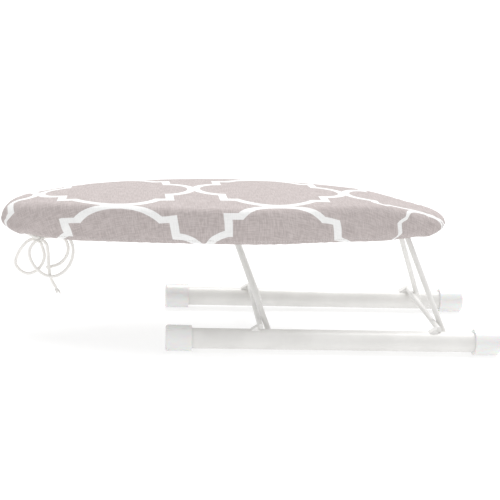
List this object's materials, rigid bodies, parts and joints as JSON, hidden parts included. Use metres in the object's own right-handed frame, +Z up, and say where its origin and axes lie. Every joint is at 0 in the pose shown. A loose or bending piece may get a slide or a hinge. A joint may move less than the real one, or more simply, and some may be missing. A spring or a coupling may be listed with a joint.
{
  "type": "tabletop ironing board",
  "caption": "Small tabletop ironing board with a padded fabric top, folding rod legs and round tube feet with end caps.",
  "frame": {"origin": "on the table, under the middle of the outline of board and feet together", "axes": "+X from the nose of the board to its tail, +Y to the back, +Z up"},
  "size_m": [0.539, 0.1914, 0.1575],
  "materials": {
    "white_paint": "satin white enamel on steel",
    "cap_plastic": "moulded white plastic",
    "printed_cotton": "woven cotton, warm grey with a printed white lattice",
    "hem_cotton": "woven cotton, turned and stitched",
    "foam": "open-cell foam underlay",
    "deck_steel": "white enamel on pressed sheet",
    "strap_steel": "white enamel on strip steel",
    "rivet_aluminium": "plain",
    "cord_cotton": "twisted white cotton"
  },
  "bodies": {
    "base": {"front_foot_tube": "white_paint", "back_foot_tube": "white_paint", "front_nose_cap": "cap_plastic", "front_tail_cap": "cap_plastic", "back_nose_cap": "cap_plastic", "back_tail_cap": "cap_plastic", "nose_crossbar": "white_paint", "tail_crossbar": "white_paint", "front_nose_gusset": "white_paint", "front_tail_gusset": "white_paint", "back_nose_gusset": "white_paint", "back_tail_gusset": "white_paint"},
    "nose_leg": {"nose_leg": "white_paint"},
    "tail_leg": {"tail_leg": "white_paint"},
    "board": {"deck_pan": "deck_steel", "foam_pad": "foam", "cover": "printed_cotton", "hem_casing": "hem_cotton", "drawstring_in_hem": "cord_cotton", "nose_hinge_strap_front": "strap_steel", "nose_hinge_strap_back": "strap_steel", "tail_hinge_strap_front": "strap_steel", "tail_hinge_strap_back": "strap_steel", "nose_hinge_rivets": "rivet_aluminium", "tail_hinge_rivets": "rivet_aluminium", "bow_knot": "cord_cotton", "bow_loop_nose": "cord_cotton", "bow_loop_tail": "cord_cotton", "drawstring_tail_short": "cord_cotton", "drawstring_tail_long": "cord_cotton"}
  },
  "joints": [
    {"name": "fold", "type": "hinge", "parent": "base", "child": "nose_leg", "pos_m": [0.0223, 0, 0.0136], "axis": [0, 1, 0], "range_deg": [0, 93]},
    {"name": "board_level", "type": "hinge", "parent": "nose_leg", "child": "board", "pos_m": [-0.02506, 0, 0.132], "axis": [0, 1, 0], "range_deg": [-93, 0]},
    {"name": "tail_leg_fold", "type": "hinge", "parent": "base", "child": "tail_leg", "pos_m": [0.2148, 0, 0.0136], "axis": [0, 1, 0], "range_deg": [0, 93]}
  ],
  "couplings": [
    {"joint": "board_level", "follows": "fold", "ratio": -1},
    {"joint": "tail_leg_fold", "follows": "fold", "ratio": 1}
  ]
}
